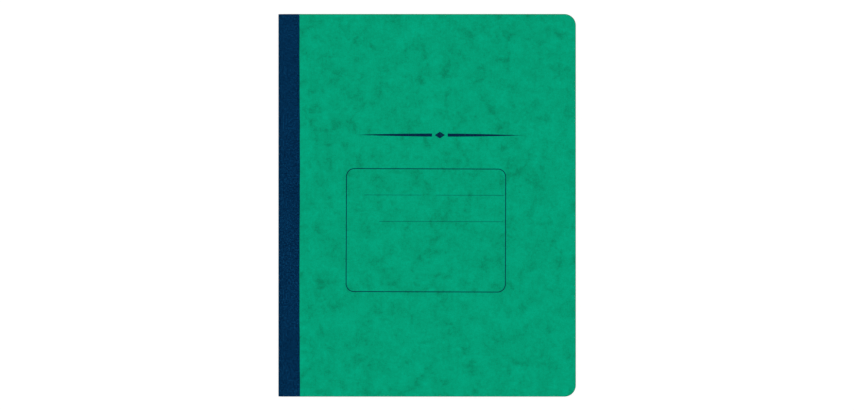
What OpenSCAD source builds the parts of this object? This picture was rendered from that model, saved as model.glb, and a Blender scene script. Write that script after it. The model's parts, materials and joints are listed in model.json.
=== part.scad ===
// Cash book: one section of folded ledger sheets, sewn through the fold, between two
// pressboard covers that are pasted to an endpaper and joined by a strip of book cloth.
// The book lies closed on its back cover. X runs from the spine to the fore edge,
// Y from tail to head and Z up through the thickness. The fold is the axis of every turn.

/* [Book] */
// width of the closed book, spine to fore edge
book_w = 210; // [150:1:240]
// height of the book, tail to head
book_h = 270; // [200:1:330]
// radius of the two fore-edge corners, cut through covers and leaves together
corner_r = 8; // [3:0.5:15]

/* [Paper] */
// thickness of one ledger leaf
leaf_t = 0.1; // [0.08:0.01:0.13]
// air between two neighbouring leaves
leaf_gap = 0.015; // [0.01:0.005:0.04]
// thickness of the endpaper
endpaper_t = 0.16; // [0.12:0.02:0.24]

/* [Cover] */
// thickness of a cover board
board_t = 0.65; // [0.6:0.05:1.2]
// clear hinge between the fold and the edge of a board
hinge_w = 1.4; // [1:0.1:4]

/* [Spine cloth] */
// thickness of the cloth, which is pressed into the boards until it is flush
cloth_t = 0.23; // [0.16:0.01:0.28]
// width of the cloth on the front, from the back of the spine
cloth_w = 14.9; // [10:0.1:30]

/* [Sewing] */
// diameter of the thread
thread_d = 0.28; // [0.2:0.02:0.3]
// length of one stitch
stitch = 6; // [5:0.5:8]
// length of the fold left unsewn at the head and at the tail
unsewn = 4; // [3:1:12]

/* [Hidden] */
$fn = 64;
sheets = 20;
leaves = 2 * sheets;
// slack between the thread and what it touches
slack = 0.01;
// flat stretch at each end of a fold, where the leaf takes over
lip = 0.3;
// the cutter for a round corner reaches this far past the sheet
over = 1;

// distances from the fold axis, from the thread in the middle out to the cloth
pitch = leaf_t + leaf_gap;
thread_r = thread_d / 2;
first_r = thread_r + 2 * slack;
endpaper_r = first_r + sheets * pitch;
board_r = endpaper_r + endpaper_t;
stitch_r = board_r + slack + thread_r;
cloth_r = board_r + thread_d + 2 * slack;
spine_r = cloth_r + cloth_t;
outer_r = board_r + board_t;

// place of the fold axis and of the fore edge
fold_x = spine_r - book_w / 2;
fold_z = outer_r;
fore_x = book_w / 2;
cloth_x = cloth_w - book_w / 2;

// the thread starts and ends inside the fold, so it has an odd number of stitches
stitches = 2 * floor((book_h - 2 * unsewn - stitch) / (2 * stitch)) + 1;
leg_r = thread_r - 2 * slack;

// inner radius of the fold of sheet n, counted from the front cover
function fold_r(n) = first_r + (sheets - n) * pitch;
// underside of leaf n, counted from the front cover
function leaf_z(n) =
    n <= sheets ? fold_z + fold_r(n) : fold_z - fold_r(leaves + 1 - n) - leaf_t;
// place of needle hole n along the fold
function hole_y(n) = (n - stitches / 2) * stitch;

// outline of a trimmed sheet that starts at x and has its fore-edge corners rounded
module trimmed(x) {
    corner_y = book_h / 2 - corner_r;
    difference() {
        translate([x, -book_h / 2]) square([fore_x - x, book_h]);
        for (side = [0, 1]) mirror([0, side])
            translate([fore_x - corner_r, corner_y])
                difference() {
                    square(corner_r + over);
                    circle(corner_r);
                }
    }
}

// sheet of thickness t that starts at x and lies with its underside at z
module plate(x, z, t) {
    translate([0, 0, z]) linear_extrude(t) trimmed(x);
}

// half round about the fold axis, with its two flat lips
module bend(inner_r, t) {
    translate([fold_x, 0, fold_z]) {
        rotate([90, 0, 0]) rotate([0, 0, 90])
            rotate_extrude(angle = 180)
                translate([inner_r, -book_h / 2]) square([t, book_h]);
        for (side = [0, 1]) mirror([0, 0, side])
            translate([0, -book_h / 2, inner_r]) cube([lip, book_h, t]);
    }
}

// cover board above the fold axis, cut back where the cloth is pressed in
module board() {
    start_x = fold_x + hinge_w;
    difference() {
        plate(start_x, fold_z + board_r, board_t);
        translate([start_x - over, -book_h / 2 - over, fold_z + outer_r - cloth_t])
            cube([cloth_x - start_x + over, book_h + 2 * over, cloth_t + over]);
    }
}

// flat part of the cloth above the fold axis: it climbs on to the board across the hinge
module cloth_flap() {
    flap_w = cloth_x - fold_x;
    translate([fold_x, book_h / 2, fold_z]) rotate([90, 0, 0])
        linear_extrude(book_h)
            polygon([
                [lip, cloth_r], [hinge_w, outer_r - cloth_t], [flap_w, outer_r - cloth_t],
                [flap_w, outer_r], [hinge_w, outer_r], [lip, spine_r]
            ]);
}

// the same piece below the fold axis
module below() {
    translate([0, 0, 2 * fold_z]) mirror([0, 0, 1]) children();
}

module front_cover() {
    color("#009b74") board();
}

module back_cover() {
    color("#009b74") below() board();
}

module spine_cloth_front() {
    color("#042c4c") cloth_flap();
}

module spine_cloth_round() {
    color("#042c4c") bend(cloth_r, cloth_t);
}

module spine_cloth_back() {
    color("#042c4c") below() cloth_flap();
}

module front_pastedown() {
    color("#f1ede2") plate(fold_x + lip, fold_z + endpaper_r, endpaper_t);
}

module back_pastedown() {
    color("#f1ede2") below() plate(fold_x + lip, fold_z + endpaper_r, endpaper_t);
}

module endpaper_fold() {
    color("#f1ede2") bend(endpaper_r, endpaper_t);
}

// the bends of all the ledger sheets, one inside the other
module sheet_folds() {
    color("#faf8f1") for (n = [1 : sheets]) bend(fold_r(n), leaf_t);
}

// one leaf of a ledger sheet, from the bend to the fore edge
module leaf(n) {
    color("#faf8f1") plate(fold_x + lip, leaf_z(n), leaf_t);
}

// one thread that runs in and out of the fold, a stitch inside and then a stitch outside
module sewing_thread() {
    color("#efe9da") translate([fold_x, 0, fold_z]) {
        for (n = [0 : stitches - 1])
            translate([n % 2 == 0 ? 0 : -stitch_r, hole_y(n) - thread_r, 0]) rotate([-90, 0, 0])
                cylinder(r = thread_r, h = stitch + thread_d);
        for (n = [0 : stitches])
            translate([-stitch_r, hole_y(n), 0]) rotate([0, 90, 0])
                cylinder(r = leg_r, h = stitch_r);
    }
}

front_cover();
back_cover();
spine_cloth_front();
spine_cloth_round();
spine_cloth_back();
front_pastedown();
back_pastedown();
endpaper_fold();
sheet_folds();
sewing_thread();
leaf(1);  // leaf_01
leaf(2);  // leaf_02
leaf(3);  // leaf_03
leaf(4);  // leaf_04
leaf(5);  // leaf_05
leaf(6);  // leaf_06
leaf(7);  // leaf_07
leaf(8);  // leaf_08
leaf(9);  // leaf_09
leaf(10);  // leaf_10
leaf(11);  // leaf_11
leaf(12);  // leaf_12
leaf(13);  // leaf_13
leaf(14);  // leaf_14
leaf(15);  // leaf_15
leaf(16);  // leaf_16
leaf(17);  // leaf_17
leaf(18);  // leaf_18
leaf(19);  // leaf_19
leaf(20);  // leaf_20
leaf(21);  // leaf_21
leaf(22);  // leaf_22
leaf(23);  // leaf_23
leaf(24);  // leaf_24
leaf(25);  // leaf_25
leaf(26);  // leaf_26
leaf(27);  // leaf_27
leaf(28);  // leaf_28
leaf(29);  // leaf_29
leaf(30);  // leaf_30
leaf(31);  // leaf_31
leaf(32);  // leaf_32
leaf(33);  // leaf_33
leaf(34);  // leaf_34
leaf(35);  // leaf_35
leaf(36);  // leaf_36
leaf(37);  // leaf_37
leaf(38);  // leaf_38
leaf(39);  // leaf_39
leaf(40);  // leaf_40
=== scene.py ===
# Cash book dressed over its CAD frame: mottled pressboard, woven spine cloth, ruled leaves.
import json
import math
import bpy
import numpy as np
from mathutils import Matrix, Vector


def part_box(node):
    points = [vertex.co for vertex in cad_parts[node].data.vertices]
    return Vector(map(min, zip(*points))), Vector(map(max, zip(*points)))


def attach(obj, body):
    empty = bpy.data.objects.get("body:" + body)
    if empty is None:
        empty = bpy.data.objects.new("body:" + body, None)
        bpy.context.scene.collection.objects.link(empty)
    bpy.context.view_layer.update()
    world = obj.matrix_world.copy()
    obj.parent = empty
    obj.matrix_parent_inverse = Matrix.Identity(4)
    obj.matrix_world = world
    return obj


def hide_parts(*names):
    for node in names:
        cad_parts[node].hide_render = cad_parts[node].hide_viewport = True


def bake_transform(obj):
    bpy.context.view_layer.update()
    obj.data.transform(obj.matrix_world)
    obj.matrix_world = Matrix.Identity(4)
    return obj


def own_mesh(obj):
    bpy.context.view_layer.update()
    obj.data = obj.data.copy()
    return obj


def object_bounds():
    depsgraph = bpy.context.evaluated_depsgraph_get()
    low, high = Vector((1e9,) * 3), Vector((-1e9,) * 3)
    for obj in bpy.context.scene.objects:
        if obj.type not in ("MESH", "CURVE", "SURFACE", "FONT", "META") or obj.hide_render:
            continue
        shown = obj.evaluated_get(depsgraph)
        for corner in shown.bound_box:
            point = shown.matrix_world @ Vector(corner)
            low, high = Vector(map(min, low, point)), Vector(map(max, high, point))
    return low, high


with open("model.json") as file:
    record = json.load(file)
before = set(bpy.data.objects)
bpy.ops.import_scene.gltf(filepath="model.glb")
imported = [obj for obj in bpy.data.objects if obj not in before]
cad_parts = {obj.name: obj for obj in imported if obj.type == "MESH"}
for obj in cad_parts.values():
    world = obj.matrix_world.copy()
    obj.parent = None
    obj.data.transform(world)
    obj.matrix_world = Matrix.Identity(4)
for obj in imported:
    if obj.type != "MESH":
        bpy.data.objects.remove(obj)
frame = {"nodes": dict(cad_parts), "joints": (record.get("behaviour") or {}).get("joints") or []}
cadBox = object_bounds()
nodes = frame["nodes"]
print("frame loaded:", len(nodes), "nodes")

# measures of the closed book in metres, read from the frame
hinge = next(j for j in frame["joints"] if j["name"] == "front_cover_hinge")
foldX, _, foldZ = hinge["pos_m"]
foreX = cadBox[1].x
halfHeight = cadBox[1].y
leafNames = sorted(n for n in nodes if n.startswith("leaf_"))
sheets = len(leafNames) // 2
cornerR = 0.008  # fore-edge corners of covers and leaves, which the frame doesn't give


def screen(red, green, blue):
    # screen colour from 0 to 255 turned into the linear value that a shader takes
    c = np.array([red, green, blue]) / 255
    line = np.where(c <= 0.04045, c / 12.92, ((c + 0.055) / 1.055) ** 2.4)
    return (*line.tolist(), 1.0)


def smooth(t):
    # from 0 to 1 with level ends: three times the square less twice the cube
    return t * t * (3 - 2 * t)


# node helpers

def wire(tree, value, socket):
    # a socket is linked, a plain value is set
    if isinstance(value, bpy.types.NodeSocket):
        tree.links.new(value, socket)
    else:
        socket.default_value = value


def calc(tree, operation, *values):
    n = tree.nodes.new("ShaderNodeMath")
    n.operation = operation
    for socket, value in zip(n.inputs, values):
        wire(tree, value, socket)
    return n.outputs[0]


def largest(tree, values):
    top = values[0]
    for value in values[1:]:
        top = calc(tree, "MAXIMUM", top, value)
    return top


def away(tree, value, place):
    # how far a value is from a place, on either side
    return calc(tree, "ABSOLUTE", calc(tree, "SUBTRACT", value, place))


def between(tree, first, second, share):
    # two values in the proportion of 1 - share to share
    return calc(tree, "MULTIPLY_ADD", second, share, calc(tree, "MULTIPLY", first, 1 - share))


def addLayer(tree, total, layer, share, middle=0.5):
    # the layer's swing about its middle, times share, on top of the total
    return calc(tree, "MULTIPLY_ADD", calc(tree, "SUBTRACT", layer, middle), share, total)


def ramp(tree, value, low, high, toLow=0.0, toHigh=1.0):
    # smooth step from toLow at low to toHigh at high
    n = tree.nodes.new("ShaderNodeMapRange")
    n.interpolation_type = "SMOOTHSTEP"
    for socket, v in zip(n.inputs, (value, low, high, toLow, toHigh)):
        wire(tree, v, socket)
    return n.outputs[0]


def within(tree, distance, reach, soft, full=1.0):
    # mask that is full inside the reach and nothing outside it, with a soft edge
    return ramp(tree, distance, reach - soft, reach + soft, full, 0.0)


def noise(tree, vector, scale, detail=2.0, roughness=0.5, distortion=0.0):
    n = tree.nodes.new("ShaderNodeTexNoise")
    wire(tree, vector, n.inputs["Vector"])
    n.inputs["Scale"].default_value = scale
    n.inputs["Detail"].default_value = detail
    n.inputs["Roughness"].default_value = roughness
    n.inputs["Distortion"].default_value = distortion
    return n.outputs[0]


def mapped(tree, vector, scale=(1, 1, 1), turn=0.0, shift=0.0):
    # the vector stretched, turned about z and shifted along x
    n = tree.nodes.new("ShaderNodeMapping")
    wire(tree, vector, n.inputs["Vector"])
    n.inputs["Location"].default_value = (shift, 0, 0)
    n.inputs["Rotation"].default_value = (0, 0, turn)
    n.inputs["Scale"].default_value = scale
    return n.outputs[0]


def split(tree, vector):
    n = tree.nodes.new("ShaderNodeSeparateXYZ")
    wire(tree, vector, n.inputs[0])
    return n.outputs


def mixColour(tree, factor, low, high):
    n = tree.nodes.new("ShaderNodeMix")
    n.data_type = "RGBA"
    colours = {s.name: s for s in n.inputs if s.type == "RGBA"}
    wire(tree, factor, n.inputs["Factor"])
    wire(tree, low, colours["A"])
    wire(tree, high, colours["B"])
    return next(s for s in n.outputs if s.type == "RGBA")


def colourRamp(tree, value, stops):
    # each stop is a place from 0 to 1 and its colour
    n = tree.nodes.new("ShaderNodeValToRGB")
    wire(tree, value, n.inputs[0])
    points = n.color_ramp.elements
    while len(points) < len(stops):
        points.new(0.5)
    for point, (place, colour) in zip(points, stops):
        point.position = place
        point.color = colour
    return n.outputs[0]


def startGroup(name, inputs, outputs):
    tree = bpy.data.node_groups.new(name, "ShaderNodeTree")
    kinds = {"Vector": "NodeSocketVector"}
    for n in inputs:
        tree.interface.new_socket(name=n, in_out="INPUT", socket_type=kinds.get(n, "NodeSocketFloat"))
    for n in outputs:
        tree.interface.new_socket(name=n, in_out="OUTPUT", socket_type="NodeSocketFloat")
    return tree, tree.nodes.new("NodeGroupInput").outputs, tree.nodes.new("NodeGroupOutput").inputs


def useGroup(tree, group, **values):
    n = tree.nodes.new("ShaderNodeGroup")
    n.node_tree = group
    for name, value in values.items():
        wire(tree, value, n.inputs[name])
    return n.outputs


def startMaterial(name, specular):
    material = bpy.data.materials.new(name)
    material.use_nodes = True
    tree = material.node_tree
    shader = tree.nodes["Principled BSDF"].inputs
    shader["Specular IOR Level"].default_value = specular
    coords = tree.nodes.new("ShaderNodeTexCoord").outputs
    return material, tree, shader, coords


def addBump(tree, shader, height, strength, distance):
    n = tree.nodes.new("ShaderNodeBump")
    n.inputs["Strength"].default_value = strength
    n.inputs["Distance"].default_value = distance
    tree.links.new(height, n.inputs["Height"])
    tree.links.new(n.outputs[0], shader["Normal"])


# shared effects

fibres = {
    "along": {"scale": 1.0, "detail": 2, "roughness": 0.6, "distortion": 0.4},
    "alongLay": {"scale": (1, 0.14, 1), "turn": 0.35},
    "across": {"scale": 1.3, "detail": 2, "roughness": 0.6, "distortion": 0.4},
    "acrossLay": {"scale": (1, 0.18, 1), "turn": -0.95},
    "grain": {"scale": 2.6, "detail": 3, "roughness": 0.65},
    "grainShare": 0.45,
}
mottle = {
    "clouds": {"scale": 96, "detail": 2, "roughness": 0.6},
    "cloudShift": 0.7,  # so that the clouds don't follow the blots
    "specks": {"scale": 480, "detail": 1, "roughness": 0.5},
    "grain": {"scale": 1500, "detail": 2, "roughness": 0.6},
    "blots": {"scale": 112, "detail": 3, "roughness": 0.5, "distortion": 0.5},
    "blotRange": (0.47, 0.8),
}
weave = {
    "drift": {"scale": 60, "detail": 1, "roughness": 0.5},
    "warpDrift": 4.0,  # in threads
    "weftDrift": -3.0,
    "dip": 0.45,  # share of its height that a thread loses at its ends, where it goes under
    "tone": {"scale": 1.0, "detail": 2, "roughness": 0.6},
    "apart": 5.3,  # step in the noise from one thread to the next
    "lint": 2.2,  # step in the noise across one thread
    "along": 420.0,
    "weftPlace": 37.0,
}


def makeRoundedOutline():
    # signed distance to a rectangle with round corners, negative inside: the length of the part of
    # (|x - cx| - w + r, |y - cy| - h + r) above zero, plus its larger side where below zero, less r
    names = ["Vector", "centreX", "centreY", "halfWidth", "halfHeight", "radius"]
    tree, ins, outs = startGroup("roundedOutline", names, ["Distance"])
    x, y, _ = split(tree, ins["Vector"])
    sides = []
    for value, centre, half in ((x, "centreX", "halfWidth"), (y, "centreY", "halfHeight")):
        past = calc(tree, "SUBTRACT", away(tree, value, ins[centre]), ins[half])
        sides.append(calc(tree, "ADD", past, ins["radius"]))
    squares = [calc(tree, "POWER", calc(tree, "MAXIMUM", s, 0.0), 2.0) for s in sides]
    outside = calc(tree, "SQRT", calc(tree, "ADD", *squares))
    inside = calc(tree, "MINIMUM", calc(tree, "MAXIMUM", *sides), 0.0)
    distance = calc(tree, "SUBTRACT", calc(tree, "ADD", outside, inside), ins["radius"])
    wire(tree, distance, outs["Distance"])
    return tree


def makePaperFibre():
    # long thin noise laid at two angles for the fibres, with fine noise for the grain
    tree, ins, outs = startGroup("paperFibre", ["Vector", "Density"], ["Tone", "Height"])
    n = tree.nodes.new("ShaderNodeVectorMath")
    n.operation = "SCALE"
    wire(tree, ins["Vector"], n.inputs[0])
    wire(tree, ins["Density"], n.inputs["Scale"])
    v = n.outputs[0]
    along = noise(tree, mapped(tree, v, **fibres["alongLay"]), **fibres["along"])
    across = noise(tree, mapped(tree, v, **fibres["acrossLay"]), **fibres["across"])
    tone = between(tree, along, across, 0.5)
    wire(tree, tone, outs["Tone"])
    grain = noise(tree, v, **fibres["grain"])
    wire(tree, between(tree, tone, grain, fibres["grainShare"]), outs["Height"])
    return tree


def makeSoftMottle():
    # wide clouds, small specks and fine grain added up about one half, less sparse soft blots
    tree, ins, outs = startGroup("softMottle", ["Vector", "Clouds", "Blots", "Specks", "Grain"], ["Tone"])
    v = ins["Vector"]
    tone = addLayer(tree, 0.5, noise(tree, mapped(tree, v, shift=mottle["cloudShift"]), **mottle["clouds"]),
                    ins["Clouds"])
    tone = addLayer(tree, tone, noise(tree, v, **mottle["specks"]), ins["Specks"])
    tone = addLayer(tree, tone, noise(tree, v, **mottle["grain"]), ins["Grain"])
    blot = ramp(tree, noise(tree, v, **mottle["blots"]), *mottle["blotRange"])
    tone = calc(tree, "SUBTRACT", tone, calc(tree, "MULTIPLY", blot, ins["Blots"]))
    wire(tree, calc(tree, "MINIMUM", calc(tree, "MAXIMUM", tone, 0.0), 1.0), outs["Tone"])
    return tree


def threadPlace(tree, number, along, apart=0.0):
    # noise place of a thread: far from its neighbours, with lint across it, and slow along the thread
    n = tree.nodes.new("ShaderNodeCombineXYZ")
    own = calc(tree, "MULTIPLY", calc(tree, "FLOOR", number), weave["apart"])
    wire(tree, calc(tree, "MULTIPLY_ADD", calc(tree, "FRACT", number), weave["lint"], own), n.inputs[0])
    wire(tree, calc(tree, "MULTIPLY", along, weave["along"]), n.inputs[1])
    n.inputs[2].default_value = apart
    return n.outputs[0]


def makePlainWeave():
    # warp and weft as half sines of the two map directions, which drift a little as in real cloth;
    # a chequer says which of the two lies on top, and that one's height and tone show
    tree, ins, outs = startGroup("plainWeave", ["Vector", "Pitch"], ["Height", "Tone", "Warp"])
    x, y, _ = split(tree, ins["Vector"])
    drift = noise(tree, ins["Vector"], **weave["drift"])
    gx = calc(tree, "MULTIPLY_ADD", drift, weave["warpDrift"], calc(tree, "DIVIDE", x, ins["Pitch"]))
    gy = calc(tree, "MULTIPLY_ADD", drift, weave["weftDrift"], calc(tree, "DIVIDE", y, ins["Pitch"]))
    warp = calc(tree, "ABSOLUTE", calc(tree, "SINE", calc(tree, "MULTIPLY", gx, math.pi)))
    weft = calc(tree, "ABSOLUTE", calc(tree, "SINE", calc(tree, "MULTIPLY", gy, math.pi)))
    cells = calc(tree, "ADD", calc(tree, "FLOOR", gx), calc(tree, "FLOOR", gy))
    over = calc(tree, "FLOORED_MODULO", cells, 2.0)
    under = calc(tree, "SUBTRACT", 1.0, over)

    def onTop(warpValue, weftValue):
        return calc(tree, "MULTIPLY_ADD", warpValue, over, calc(tree, "MULTIPLY", weftValue, under))

    dip = weave["dip"]
    warpUp = calc(tree, "MULTIPLY", warp, calc(tree, "MULTIPLY_ADD", weft, dip, 1 - dip))
    weftUp = calc(tree, "MULTIPLY", weft, calc(tree, "MULTIPLY_ADD", warp, dip, 1 - dip))
    height = onTop(warpUp, weftUp)
    wire(tree, height, outs["Height"])
    wire(tree, calc(tree, "MULTIPLY", over, height), outs["Warp"])
    # each thread has its own tone, which drifts along it
    warpTone = noise(tree, threadPlace(tree, gx, y), **weave["tone"])
    weftTone = noise(tree, threadPlace(tree, gy, x, weave["weftPlace"]), **weave["tone"])
    wire(tree, onTop(warpTone, weftTone), outs["Tone"])
    return tree


roundedOutline = makeRoundedOutline()
paperFibre = makePaperFibre()
softMottle = makeSoftMottle()
plainWeave = makePlainWeave()
print("shared effects made")


def mottled(tree, vector, look):
    return useGroup(tree, softMottle, Vector=vector, Clouds=look["clouds"], Blots=look["blots"],
                    Specks=look["specks"], Grain=look["grain"])["Tone"]


# covers: glazed pressboard, mottled green, printed on the front

board = {
    "tones": ((0.12, screen(0, 128, 92)), (0.36, screen(0, 148, 109)),
              (0.52, screen(0, 156, 117)), (0.8, screen(0, 168, 129))),
    "clouds": 0.62,
    "blots": 0.28,
    "specks": 0.36,
    "grain": 0.9,
    "fibres": 900.0,  # fibres to a metre
    "fibreShare": 0.25,
    "rim": screen(0, 112, 84),  # cut edges
    "rimWidth": 0.0007,
    "rimShare": 0.8,
    "rimRough": 0.25,
    "pastSpine": -0.3,  # the outline of the rim runs on past the spine, where no edge is cut
    "specular": 0.04,
    "rough": 0.52,
    "glaze": -0.12,  # change of roughness from the dark tones to the light ones
    "bump": (0.35, 0.00004),
    "ease": 0.00012,
    "easeSteps": 2,
    "easeDeg": 35,
    "merge": 1e-6,
}
printing = {
    "ink": screen(0, 30, 58),
    "turn": math.radians(0.2),  # the sheet went through the press a little askew
    "frameCentre": (-0.00072, -0.01766),
    "frameHalf": (0.0562, 0.0434),
    "frameR": 0.0056,
    "frameLine": 0.00058,
    "rules": ((-0.0442, -0.0039, 0.0072), (0.0064, 0.0541, 0.0072), (-0.0340, 0.0538, -0.0114)),
    "ruleLine": 0.00030,
    "ruleInk": 0.8,
    "swellCentre": (0.0089, 0.0496),
    "swellHalf": 0.0586,
    "swellThick": 0.0011,
    "lozenge": 0.0036,
    "lozengeSlim": 1.5,
    "lozengeGap": 1.5,
    "soft": 0.00012,
    "face": (0.0031, 0.0032),  # heights above the fold between which the ink sets in
    "wear": (0.3, 0.5, 0.8, 1.0),  # height of the fibres and how much ink they hold
    "rough": 0.12,
}


def coverPrint(tree, vector):
    # ink mask: a round-cornered frame line, three fill-in rules and a swelled rule with a lozenge
    soft = printing["soft"]
    z = split(tree, vector)[2]
    vector = mapped(tree, vector, turn=printing["turn"])
    x, y, _ = split(tree, vector)
    cx, cy = printing["frameCentre"]
    halfX, halfY = printing["frameHalf"]
    edge = useGroup(tree, roundedOutline, Vector=vector, centreX=cx, centreY=cy, halfWidth=halfX,
                    halfHeight=halfY, radius=printing["frameR"])["Distance"]
    masks = [within(tree, calc(tree, "ABSOLUTE", edge), printing["frameLine"] / 2, soft)]
    for x0, x1, y0 in printing["rules"]:
        line = within(tree, away(tree, y, y0), printing["ruleLine"] / 2, soft, printing["ruleInk"])
        ends = within(tree, away(tree, x, (x0 + x1) / 2), (x1 - x0) / 2, soft)
        masks.append(calc(tree, "MULTIPLY", line, ends))
    # swelled rule: its half thickness falls with the square of the way from the middle
    sx, sy = printing["swellCentre"]
    along = away(tree, x, sx)
    across = away(tree, y, sy)
    share = calc(tree, "POWER", calc(tree, "DIVIDE", along, printing["swellHalf"]), 2.0)
    swell = calc(tree, "MULTIPLY", calc(tree, "SUBTRACT", 1.0, share), printing["swellThick"])
    body = within(tree, calc(tree, "SUBTRACT", across, swell), 0.0, soft)
    size = printing["lozenge"]
    gap = size * printing["lozengeGap"]
    masks.append(calc(tree, "MULTIPLY", body, ramp(tree, along, gap, gap + 2 * soft)))
    diamond = calc(tree, "MULTIPLY_ADD", across, printing["lozengeSlim"], along)
    masks.append(within(tree, diamond, size, soft))
    low, high = printing["face"]
    outer = ramp(tree, z, foldZ + low, foldZ + high)  # ink lies on the outer face alone
    return calc(tree, "MULTIPLY", largest(tree, masks), outer)


def makeBoard(name, printed):
    # the mottle and a little fibre give the tone; the cut edges are duller, and the ink lies on top
    material, tree, shader, coords = startMaterial(name, board["specular"])
    v = coords["Object"]
    fibre = useGroup(tree, paperFibre, Vector=v, Density=board["fibres"])
    tone = addLayer(tree, mottled(tree, v, board), fibre["Tone"], board["fibreShare"])
    colour = colourRamp(tree, tone, board["tones"])
    left = board["pastSpine"]
    edge = useGroup(tree, roundedOutline, Vector=v, centreX=(foreX + left) / 2, centreY=0.0,
                    halfWidth=(foreX - left) / 2, halfHeight=halfHeight, radius=cornerR)["Distance"]
    rim = ramp(tree, edge, -board["rimWidth"], 0.0, 0.0, board["rimShare"])
    colour = mixColour(tree, rim, colour, board["rim"])
    rough = calc(tree, "MULTIPLY_ADD", tone, board["glaze"], board["rough"])
    rough = calc(tree, "MULTIPLY_ADD", rim, board["rimRough"], rough)
    if printed:
        worn = ramp(tree, fibre["Height"], *printing["wear"])
        ink = calc(tree, "MULTIPLY", coverPrint(tree, v), worn)
        colour = mixColour(tree, ink, colour, printing["ink"])
        rough = calc(tree, "MULTIPLY_ADD", ink, printing["rough"], rough)
    wire(tree, colour, shader["Base Color"])
    wire(tree, rough, shader["Roughness"])
    addBump(tree, shader, fibre["Height"], *board["bump"])
    return material


def dress(node, material):
    # a kept CAD node takes the material in every slot
    slots = nodes[node].data.materials
    slots.clear()
    slots.append(material)


def easeEdges(node):
    # merges the CAD triangles and rounds the cut edges a little
    o = nodes[node]
    weld = o.modifiers.new("merge", "WELD")
    weld.merge_threshold = board["merge"]
    bevel = o.modifiers.new("ease", "BEVEL")
    bevel.width = board["ease"]
    bevel.segments = board["easeSteps"]
    bevel.limit_method = "ANGLE"
    bevel.angle_limit = math.radians(board["easeDeg"])


dress("front_cover", makeBoard("printedPressboard", True))
dress("back_cover", makeBoard("greenPressboard", False))
for node in ("front_cover", "back_cover"):
    easeEdges(node)
print("covers dressed")

# endpaper, kept as CAD on both boards

endpaper = {
    "tones": ((0.35, screen(226, 219, 200)), (0.6, screen(240, 235, 220))),
    "clouds": 0.8,
    "blots": 0.4,
    "specks": 0.3,
    "grain": 0.2,
    "fibres": 700.0,
    "cloudShare": 0.5,
    "specular": 0.2,
    "rough": (0.3, 0.7, 0.92, 0.78),
    "bump": (0.3, 0.00004),
}


def makeEndpaper():
    material, tree, shader, coords = startMaterial("creamEndpaper", endpaper["specular"])
    v = coords["Object"]
    fibre = useGroup(tree, paperFibre, Vector=v, Density=endpaper["fibres"])
    tone = between(tree, fibre["Tone"], mottled(tree, v, endpaper), endpaper["cloudShare"])
    wire(tree, colourRamp(tree, tone, endpaper["tones"]), shader["Base Color"])
    wire(tree, ramp(tree, fibre["Tone"], *endpaper["rough"]), shader["Roughness"])
    addBump(tree, shader, fibre["Height"], *endpaper["bump"])
    return material


creamEndpaper = makeEndpaper()
for node in ("front_pastedown", "back_pastedown"):
    dress(node, creamEndpaper)
print("endpapers dressed")

# mesh helpers

def gridQuads(index):
    # one quad for each cell of a grid of vertex numbers
    return np.stack([index[:-1, :-1], index[1:, :-1], index[1:, 1:], index[:-1, 1:]], -1).reshape(-1, 4)


def signedVolume(points, quads):
    # sum of the triple products of the two triangles of each quad, six times the volume
    a, b, c, d = (points[quads[:, k]] for k in range(4))
    return (np.cross(a, b) * c).sum() + (np.cross(a, c) * d).sum()


def putMesh(name, points, quads, uv, faceSlots, materials, sharpDeg):
    # faces are turned outwards, and the map goes from points to face corners
    if signedVolume(points, quads) < 0:
        quads = quads[:, ::-1]
    mesh = bpy.data.meshes.new(name)
    mesh.from_pydata(points.tolist(), [], quads.tolist())
    corner = np.empty(len(mesh.loops), np.int32)
    mesh.loops.foreach_get("vertex_index", corner)
    mesh.uv_layers.new(name="sheetMap").data.foreach_set("uv", uv[corner].astype(np.float32).ravel())
    for material in materials:
        mesh.materials.append(material)
    mesh.polygons.foreach_set("material_index", faceSlots.astype(np.int32))
    mesh.polygons.foreach_set("use_smooth", np.ones(len(quads), bool))
    mesh.set_sharp_from_angle(angle=math.radians(sharpDeg))
    mesh.update()
    piece = bpy.data.objects.new(name, mesh)
    bpy.context.scene.collection.objects.link(piece)
    return piece


def slab(name, outer, inner, uv, materials, sharpDeg):
    # closed sheet between two grids of one size: both faces, and a rim that follows the border loop
    count = outer.shape[0] * outer.shape[1]
    index = np.arange(count).reshape(outer.shape[:2])
    border = np.concatenate([index[:, 0], index[-1, 1:], index[-2::-1, -1], index[0, -2:0:-1]])
    after = np.roll(border, -1)
    rim = np.stack([border + count, after + count, after, border], -1)
    face = gridQuads(index)
    quads = np.concatenate([face, face[:, ::-1] + count, rim])
    faceSlots = np.repeat([0, len(materials) - 1], [2 * len(face), len(rim)])
    points = np.concatenate([outer.reshape(-1, 3), inner.reshape(-1, 3)])
    uv = np.concatenate([uv.reshape(-1, 2)] * 2)
    return putMesh(name, points, quads, uv, faceSlots, materials, sharpDeg)


# ledger paper, ruled on the leaves and plain on their trimmed edges

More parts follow.
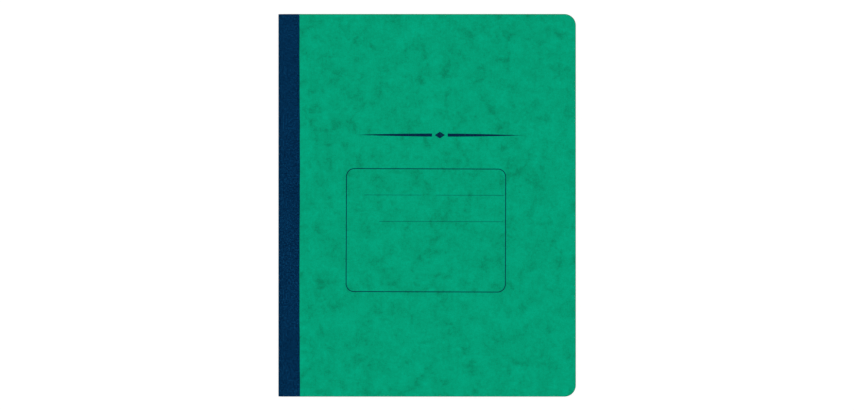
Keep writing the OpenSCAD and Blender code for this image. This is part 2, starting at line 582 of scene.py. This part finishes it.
paper = {
    "pale": screen(243, 239, 228),
    "dull": screen(234, 229, 215),
    "toneRange": (0.3, 0.62),
    "fibres": 800.0,
    "specular": 0.1,
    "rough": (0.3, 0.7, 0.88, 0.72),
    "bump": (0.25, 0.00003),
    "rowInk": screen(146, 178, 200),
    "columnInk": screen(206, 128, 124),
    "hold": (0.3, 0.55, 0.6, 0.9),  # height of the fibres and how much ink they hold
    "rowPitch": 0.0080,
    "rowLow": 0.0150,
    "rowSpare": 0.002,
    "rowHigh": 0.2390,
    "headLines": (0.2430, 0.2440, 0.2590),
    "columns": (0.0140, 0.0290, 0.0300, 0.1040, 0.1180, 0.1190, 0.1430, 0.1530, 0.1540, 0.1780, 0.1880),
    "line": 0.00032,
    "lineSoft": 0.5,
}
trimmed = {
    "pale": screen(236, 230, 214),
    "toneRange": (0.3, 0.7),
    "grain": {"scale": 1.0, "detail": 3, "roughness": 0.6},
    "density": (300, 300, 1),
    "specular": 0.15,
    "rough": (0.3, 0.7, 0.95, 0.85),
}


def ledgerRules(tree, uv):
    # row lines repeat down the page below the head; column lines stand at set ways from the fold
    x, y, _ = split(tree, uv)
    half = paper["line"] / 2
    soft = half * paper["lineSoft"]
    step = calc(tree, "PINGPONG", calc(tree, "SUBTRACT", y, paper["rowLow"]), paper["rowPitch"] / 2)
    low = calc(tree, "GREATER_THAN", y, paper["rowLow"] - paper["rowSpare"])
    high = calc(tree, "LESS_THAN", y, paper["rowHigh"])
    rows = calc(tree, "MULTIPLY", within(tree, step, half, soft), calc(tree, "MULTIPLY", low, high))
    masks = [within(tree, away(tree, y, place), half, soft) for place in paper["headLines"]]
    below = calc(tree, "LESS_THAN", y, paper["headLines"][-1])
    for place in paper["columns"]:
        masks.append(calc(tree, "MULTIPLY", within(tree, away(tree, x, place), half, soft), below))
    return rows, largest(tree, masks)


def makeLedgerPaper():
    material, tree, shader, coords = startMaterial("ruledLedgerPaper", paper["specular"])
    v = coords["UV"]
    fibre = useGroup(tree, paperFibre, Vector=v, Density=paper["fibres"])
    colour = colourRamp(tree, fibre["Tone"], list(zip(paper["toneRange"], (paper["dull"], paper["pale"]))))
    hold = ramp(tree, fibre["Height"], *paper["hold"])
    rows, columns = ledgerRules(tree, v)
    colour = mixColour(tree, calc(tree, "MULTIPLY", rows, hold), colour, paper["rowInk"])
    colour = mixColour(tree, calc(tree, "MULTIPLY", columns, hold), colour, paper["columnInk"])
    wire(tree, colour, shader["Base Color"])
    wire(tree, ramp(tree, fibre["Tone"], *paper["rough"]), shader["Roughness"])
    addBump(tree, shader, fibre["Height"], *paper["bump"])
    return material


def makePaperEdge():
    material, tree, shader, coords = startMaterial("trimmedPaperEdge", trimmed["specular"])
    tone = noise(tree, mapped(tree, coords["UV"], trimmed["density"]), **trimmed["grain"])
    colour = colourRamp(tree, tone, list(zip(trimmed["toneRange"], (paper["dull"], trimmed["pale"]))))
    wire(tree, colour, shader["Base Color"])
    wire(tree, ramp(tree, tone, *trimmed["rough"]), shader["Roughness"])
    return material


ledgerPaper = makeLedgerPaper()
paperEdge = makePaperEdge()

# leaves, and the bends that join them two by two

leaf = {
    "flatSteps": 36,
    "cornerSteps": 10,
    "heightSteps": 7,
    "start": 0.00006,  # way from the fold to the leaf's first edge
    "jog": 0.00007,  # unevenness of the trim
    "jogTurn": 2.4,
    "tuck": 0.000006,
    "settle": 0.03,  # way from the fold at which the leaves lie close and even
    "close": 0.00014,
    "archDeg": 4.0,  # how much less than it turns the first leaf rises at the crease
    "reach": 0.14,  # way from the fold at which an open leaf lies flat
    "sharpDeg": 40,
}
bend = {
    "firstR": 0.00016,
    "pitch": 0.000115,
    "leafT": 0.0001,
    "endpaperR": 0.00246,
    "endpaperT": 0.00016,
    "lip": 0.0003,
    "inset": 0.00005,
    "keep": 0.03,  # share of its depth that a bend keeps in the open book
    "turnSteps": 25,
    "heightSteps": 7,
    "sharpDeg": 60,
}


def leafPiece(n, node):
    # flat sheet on a grid of (way from the fold, height): the height of each column falls along
    # the arc of the round corner, and the trimmed edge steps in a little from leaf to leaf
    low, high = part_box(node)
    trim = leaf["jog"] * (1 + math.sin(leaf["jogTurn"] * n))
    turn = np.linspace(0, math.pi / 2, leaf["cornerSteps"])[1:]
    flat = np.linspace(foldX + leaf["start"], foreX - cornerR - trim, leaf["flatSteps"])
    x = np.concatenate([flat, flat[-1] + cornerR * np.sin(turn)])
    half = np.concatenate([np.full(len(flat), halfHeight), halfHeight - cornerR * (1 - np.cos(turn))])
    # beside the crease the leaf is as high as the bend that it grows out of, less a hair
    half -= np.interp(x - foldX, [bend["lip"], leaf["settle"]], [bend["inset"] + leaf["tuck"], trim])
    y = half[:, None] * np.linspace(-1, 1, leaf["heightSteps"])[None, :]
    x = np.broadcast_to(x[:, None], y.shape)
    # away from the fold the leaves close up over the thread's thickness, so that the gaps are even
    depth = min(n, 2 * sheets + 1 - n) / sheets
    way = np.clip((x - foldX) / leaf["settle"], 0, 1)
    drop = math.copysign(leaf["close"] * depth, n - sheets - 0.5) * smooth(way)
    upper = np.stack([x, y, high.z + drop], -1)
    lower = np.stack([x, y, low.z + drop], -1)
    uv = np.stack([x - foldX, y + halfHeight], -1)
    name = node.replace("leaf", "ruledLeaf")
    piece = slab(name, upper, lower, uv, [ledgerPaper, paperEdge], leaf["sharpDeg"])
    if n <= sheets:
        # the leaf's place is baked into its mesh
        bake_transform(piece)
    else:
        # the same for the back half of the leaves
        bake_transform(piece)
    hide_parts(node)


def flattenOnOpening(piece):
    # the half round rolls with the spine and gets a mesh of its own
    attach(piece, "spine")
    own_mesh(piece)


def bendPiece(name, radius, thick, materials):
    # half round about the fold from the lower lip to the upper one, carried along the height
    turn = np.linspace(1.5 * math.pi, 0.5 * math.pi, bend["turnSteps"])
    half = halfHeight - bend["inset"]
    y = np.linspace(-half, half, bend["heightSteps"])

    def carried(r):
        across = np.concatenate([[bend["lip"]], r * np.cos(turn), [bend["lip"]]])
        up = np.concatenate([[-r], r * np.sin(turn), [r]])
        section = np.stack([foldX + across, np.zeros_like(across), foldZ + up], -1)
        return section[:, None, :] + np.stack([0 * y, y, 0 * y], -1)[None, :, :]

    outer = carried(radius + thick)
    inner = carried(radius)
    uv = np.stack([np.abs(outer[..., 0] - foldX), outer[..., 1] + halfHeight], -1)
    piece = slab(name, outer, inner, uv, materials, bend["sharpDeg"])
    flattenOnOpening(piece)
    return piece


for n, node in enumerate(leafNames, 1):
    leafPiece(n, node)
print("leaves made:", len(leafNames))

for n in range(1, sheets + 1):
    radius = bend["firstR"] + (sheets - n) * bend["pitch"]
    piece = bendPiece(f"sheetFold_{n:02d}", radius, bend["leafT"], [ledgerPaper, paperEdge])
    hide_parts("sheet_folds")
piece = bendPiece("endpaperFold", bend["endpaperR"], bend["endpaperT"], [creamEndpaper])
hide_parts("endpaper_fold")
print("bends made:", sheets + 1)

# spine cloth: one strip from the front cover round the back to the back cover

cloth = {
    "tones": ((0.0, screen(0, 10, 28)), (0.5, screen(0, 36, 68)), (1.0, screen(14, 71, 112))),
    "pitch": 0.00068,
    # the Height layer is painted shade: the cloth is darker in the dips between the threads
    "layers": (("Height", 0.4, 0.5), ("Tone", 0.9, 0.5), ("Warp", 0.15, 0.25)),  # share and middle of each
    "dye": ((1000, 1.6), (320, 0.2), (45, 0.22)),  # scale and share
    "dyeDetail": 2,
    "dyeRough": 0.6,
    "specular": 0.01,
    "rough": (0.0, 1.0, 0.95, 0.75),
    "sheen": 0.01,
    "sheenRough": 0.4,
    "sheenTint": screen(90, 140, 190),
    "bump": (0.4, 0.00008),
    "innerR": 0.00292,
    "thick": 0.00023,
    "hinge": 0.0014,
    "outerR": 0.00327,
    "proud": 0.00005,
    "overlap": 0.00028,  # how far the cut edge reaches past that of the CAD cloth
    "wander": 0.0002,
    "waves": ((0.75, 0.027, 0.39), (0.25, 0.0049, 2.1)),  # share, length and phase of the wander
    "edgeShares": (1.0, 0.996, 0.988),  # rows beside the cut edge, as shares of the way to it
    "edgeFall": (0.8, 0.25, 0.0),  # the cut edge is pressed down
    "flapStart": 0.97,
    "flapSteps": 14,
    "climbSteps": 6,
    "turnSteps": 41,
    "heightSteps": 91,
    "sharpDeg": 50,
}


def makeCloth():
    material, tree, shader, coords = startMaterial("navyBookCloth", cloth["specular"])
    v = coords["UV"]
    woven = useGroup(tree, plainWeave, Vector=v, Pitch=cloth["pitch"])
    tone = 0.5
    # the weave's height in the tone paints shade into the dips between threads; the thread tones and
    # lighter warp are the cloth's own colour
    for name, share, middle in cloth["layers"]:
        tone = addLayer(tree, tone, woven[name], share, middle)
    for scale, share in cloth["dye"]:
        tone = addLayer(tree, tone, noise(tree, v, scale, cloth["dyeDetail"], cloth["dyeRough"]), share)
    wire(tree, colourRamp(tree, tone, cloth["tones"]), shader["Base Color"])
    wire(tree, ramp(tree, woven["Height"], *cloth["rough"]), shader["Roughness"])
    shader["Sheen Weight"].default_value = cloth["sheen"]
    shader["Sheen Roughness"].default_value = cloth["sheenRough"]
    shader["Sheen Tint"].default_value = cloth["sheenTint"]
    addBump(tree, shader, woven["Height"], *cloth["bump"])
    return material


def clothPiece():
    # section from the cut edge on the back cover round the spine to the cut edge on the front cover,
    # carried along the height; the cut edges wander a little as sums of sines of the height
    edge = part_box("spine_cloth_front")[1].x - foldX + cloth["overlap"]
    outerR, innerR, thick, joint = cloth["outerR"], cloth["innerR"], cloth["thick"], cloth["hinge"]
    y = np.linspace(-halfHeight, halfHeight, cloth["heightSteps"])
    wave = sum(share * np.sin(y / length + phase) for share, length, phase in cloth["waves"])
    share = np.concatenate([cloth["edgeShares"], np.linspace(cloth["flapStart"], 0, cloth["flapSteps"])])
    fall = np.concatenate([cloth["edgeFall"], np.zeros(cloth["flapSteps"])])
    turn = np.linspace(1.5 * math.pi, 0.5 * math.pi, cloth["turnSteps"])
    ease = np.linspace(0, 1, cloth["climbSteps"])[1:]

    def section(roundR, flatR, proud):
        # (way from the fold, height above it, share of the cut edge's wander)
        flap = np.stack([joint + share * (edge - joint), flatR + proud * (1 - fall), share], -1)
        top = flatR + proud
        climb = np.stack([joint * (1 - ease), top + (roundR - top) * smooth(ease), 0 * ease], -1)
        upper = np.concatenate([flap, climb])
        lower = upper * np.array([1, -1, 1])
        arc = np.stack([roundR * np.cos(turn), roundR * np.sin(turn), 0 * turn], -1)
        return np.concatenate([lower, arc[1:-1], upper[::-1]])

    def carried(path):
        x = foldX + path[:, None, 0] + path[:, None, 2] * cloth["wander"] * wave[None, :]
        z = np.broadcast_to(foldZ + path[:, None, 1], x.shape)
        return np.stack([x, np.broadcast_to(y[None, :], x.shape), z], -1)

    path = section(innerR + thick, outerR, cloth["proud"])
    outer = carried(path)
    inner = carried(section(innerR, outerR - thick, 0.0))
    step = np.hypot(np.diff(path[:, 0]), np.diff(path[:, 1]))
    around = np.concatenate([[0], np.cumsum(step)])
    uv = np.stack(np.broadcast_arrays(around[:, None], y[None, :] + halfHeight), -1)
    material = makeCloth()
    end = len(path) - 1
    first = len(share) + len(ease) - 2  # last row of the back length, just short of the round
    lengths = (
        ("spineClothBack", "spine_cloth_back", 0, first, ["back_cover"]),
        ("spineClothRound", "spine_cloth_round", first, end - first, ["spineClothBack", "spineClothFront"]),
        ("spineClothFront", "spine_cloth_front", end - first, end, ["front_cover"]),
    )
    for name, node, start, stop, carriers in lengths:
        rows = slice(start, stop + 1)
        piece = slab(name, outer[rows], inner[rows], uv[rows], [material], cloth["sharpDeg"])
        if node == "spine_cloth_round":
            flattenOnOpening(piece)
        else:
            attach(piece, node.replace("spine_cloth_", "") + "_cover")
        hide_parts(node)
    return around[-1]


print("spine cloth made, strip width", round(clothPiece() * 1000, 2), "mm")

# sewing thread

thread = {
    "stitch": 0.006,
    "stitches": 43,
    "radius": 0.00013,
    "outerR": 0.00277,
    "cornerR": 0.00035,
    "cornerSteps": 6,
    "wayStep": 0.0004,
    "ringSteps": 13,
    "sharpDeg": 60,
    "plies": 3,
    "plyDepth": 0.12,
    "twist": 0.0011,
    "tones": ((0.15, screen(196, 184, 158)), (0.6, screen(240, 233, 216))),
    "lint": {"scale": 1.0, "detail": 2, "roughness": 0.6},
    "lintLay": (6, 3000, 1),
    "lintShare": 0.3,
    "specular": 0.15,
    "rough": (0.0, 1.0, 0.95, 0.8),
}


def makeCotton():
    material, tree, shader, coords = startMaterial("sewingCotton", thread["specular"])
    x, y, _ = split(tree, coords["UV"])
    # plies wind round the thread: a sine of the way round less the way along
    turns = 2 * math.pi * thread["plies"]
    phase = calc(tree, "SUBTRACT", calc(tree, "MULTIPLY", x, turns),
                 calc(tree, "MULTIPLY", y, turns / thread["twist"]))
    ply = calc(tree, "MULTIPLY_ADD", calc(tree, "SINE", phase), 0.5, 0.5)
    lint = noise(tree, mapped(tree, coords["UV"], thread["lintLay"]), **thread["lint"])
    tone = between(tree, ply, lint, thread["lintShare"])
    wire(tree, colourRamp(tree, tone, thread["tones"]), shader["Base Color"])
    wire(tree, ramp(tree, tone, *thread["rough"]), shader["Roughness"])
    return material


def threadPiece():
    # round section carried along a square wave with round corners: a stitch on the fold, a leg out
    # through the needle hole, a stitch outside; the radius swells with each ply as it winds
    r = thread["cornerR"]
    reach = thread["outerR"]
    quarter = np.linspace(0, math.pi / 2, thread["cornerSteps"])
    along = np.concatenate([-r + r * np.sin(quarter), r - r * np.sin(quarter[::-1])])
    across = np.concatenate([r - r * np.cos(quarter), reach - r + r * np.cos(quarter[::-1])])
    number = np.arange(thread["stitches"] + 1)
    holes = (number - thread["stitches"] / 2) * thread["stitch"]
    outward = number % 2 == 1
    wayX = np.where(outward[:, None], across, reach - across)
    wayY = holes[:, None] + along[None, :]
    centre = np.stack([-wayX.ravel(), wayY.ravel(), 0 * wayY.ravel()], -1)
    # the stitches in between get their own points
    length = np.concatenate([[0], np.cumsum(np.linalg.norm(np.diff(centre, axis=0), axis=1))])
    even = np.unique(np.concatenate([length, np.arange(0, length[-1], thread["wayStep"])]))
    centre = np.stack([np.interp(even, length, centre[:, k]) for k in range(3)], -1)
    way = np.gradient(centre, axis=0)
    way /= np.linalg.norm(way, axis=1)[:, None]
    up = np.array([0.0, 0.0, 1.0])
    side = np.cross(way, up)
    turn = np.linspace(0, 2 * math.pi, thread["ringSteps"])
    wound = turn[None, :] - 2 * math.pi * even[:, None] / thread["twist"]
    radius = thread["radius"] * (1 + thread["plyDepth"] * np.cos(thread["plies"] * wound))
    ring = np.cos(turn)[None, :, None] * side[:, None, :] + np.sin(turn)[None, :, None] * up
    tube = centre[:, None, :] + radius[..., None] * ring + np.array([foldX, 0, foldZ])
    uv = np.stack(np.broadcast_arrays(turn[None, :] / (2 * math.pi), even[:, None]), -1)
    rows, around = tube.shape[0], tube.shape[1] - 1
    points = tube[:, :-1].reshape(-1, 3)
    index = np.arange(rows * around).reshape(rows, around)
    sides = gridQuads(np.concatenate([index, index[:, :1]], 1))
    # each end is closed by quads across the ring
    k = np.arange(around // 2 - 1)
    cap = np.stack([k, k + 1, around - 2 - k, around - 1 - k], -1)
    quads = np.concatenate([sides, cap, cap[:, ::-1] + (rows - 1) * around])
    piece = putMesh("sewingThread", points, quads, uv[:, :-1].reshape(-1, 2), np.zeros(len(quads)),
                    [makeCotton()], thread["sharpDeg"])
    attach(piece, "spine")
    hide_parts("sewing_thread")


threadPiece()
print("thread made")

# studio: pale floor, four softboxes, a band of soft light that leaves the horizon and the top dim

studio = {
    "floor": screen(238, 238, 238),
    "floorSize": 3.0,
    "floorDrop": 0.00002,
    "shown": 0.8,  # share of white in the floor that the camera sees; the rest keeps the shadow
    "shownLight": 1.1,
    "horizon": 0.24,
    "band": 0.71,
    "top": 0.02,
    "riseHeights": (0.2, 0.5),
    "fallHeights": (0.65, 0.85),
    "lamps": ((-1.6, 0.2, 1.6, 19.6), (1.6, -0.2, 1.6, 14.0),  # place and power
              (0.2, 1.6, 1.6, 12.4), (-0.2, -1.6, 1.6, 8.3)),
    "lampSize": (1.8, 0.9),
}
camera = {"lens": 150.0, "sensor": 36.0, "frameWidth": 0.6027, "centre": (-0.00001, 0.00022)}


def shownRay(tree):
    # one for what the camera sees, straight or by way of gloss or glass
    path = tree.nodes.new("ShaderNodeLightPath").outputs
    return largest(tree, [path["Is Camera Ray"], path["Is Glossy Ray"], path["Is Transmission Ray"]])


def makeFloor():
    material = bpy.data.materials.new("paleFloor")
    material.use_nodes = True
    tree = material.node_tree
    shader = tree.nodes["Principled BSDF"]
    shader.inputs["Base Color"].default_value = studio["floor"]
    shader.inputs["Roughness"].default_value = 1.0
    shader.inputs["Specular IOR Level"].default_value = 0.0
    glow = tree.nodes.new("ShaderNodeEmission")
    glow.inputs["Strength"].default_value = studio["shownLight"]
    mix = tree.nodes.new("ShaderNodeMixShader")
    wire(tree, calc(tree, "MULTIPLY", shownRay(tree), studio["shown"]), mix.inputs[0])
    tree.links.new(shader.outputs[0], mix.inputs[1])
    tree.links.new(glow.outputs[0], mix.inputs[2])
    tree.links.new(mix.outputs[0], tree.nodes["Material Output"].inputs["Surface"])
    half = studio["floorSize"]
    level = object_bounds()[0].z - studio["floorDrop"]
    corners = [(-half, -half, level), (half, -half, level), (half, half, level), (-half, half, level)]
    mesh = bpy.data.meshes.new("floor")
    mesh.from_pydata(corners, [], [(0, 1, 2, 3)])
    mesh.materials.append(material)
    floor = bpy.data.objects.new("floor", mesh)
    bpy.context.scene.collection.objects.link(floor)


def makeWorld():
    # light comes from a band half way up, dim at the horizon and overhead; what the camera sees is white
    world = bpy.data.worlds.new("studioWorld")
    world.use_nodes = True
    tree = world.node_tree
    height = split(tree, tree.nodes.new("ShaderNodeTexCoord").outputs["Generated"])[2]
    rise = ramp(tree, height, *studio["riseHeights"], studio["horizon"], studio["band"])
    fall = ramp(tree, height, *studio["fallHeights"], studio["band"], studio["top"])
    strength = calc(tree, "MAXIMUM", calc(tree, "MINIMUM", rise, fall), shownRay(tree))
    background = tree.nodes["Background"]
    background.inputs["Color"].default_value = (1, 1, 1, 1)
    wire(tree, strength, background.inputs["Strength"])
    bpy.context.scene.world = world


def makeLamps():
    # each lamp is turned to the middle of the book
    for n, (x, y, z, power) in enumerate(studio["lamps"], 1):
        lamp = bpy.data.lights.new(f"softbox_{n}", "AREA")
        lamp.energy = power
        lamp.shape = "RECTANGLE"
        lamp.size, lamp.size_y = studio["lampSize"]
        o = bpy.data.objects.new(f"softbox_{n}", lamp)
        o.location = (x, y, z)
        o.rotation_euler = (-o.location).to_track_quat("-Z", "Y").to_euler()
        bpy.context.scene.collection.objects.link(o)


def makeCamera():
    # straight above the front cover, so far off that the frame is frameWidth wide at its face
    lens = bpy.data.cameras.new("camera")
    lens.lens = camera["lens"]
    lens.sensor_width = camera["sensor"]
    o = bpy.data.objects.new("camera", lens)
    distance = camera["frameWidth"] * camera["lens"] / camera["sensor"]
    o.location = (*camera["centre"], cadBox[1].z + distance)
    bpy.context.scene.collection.objects.link(o)
    bpy.context.scene.camera = o


makeFloor()
makeWorld()
makeLamps()
makeCamera()
bpy.context.scene.view_settings.view_transform = "Standard"
print("studio set")
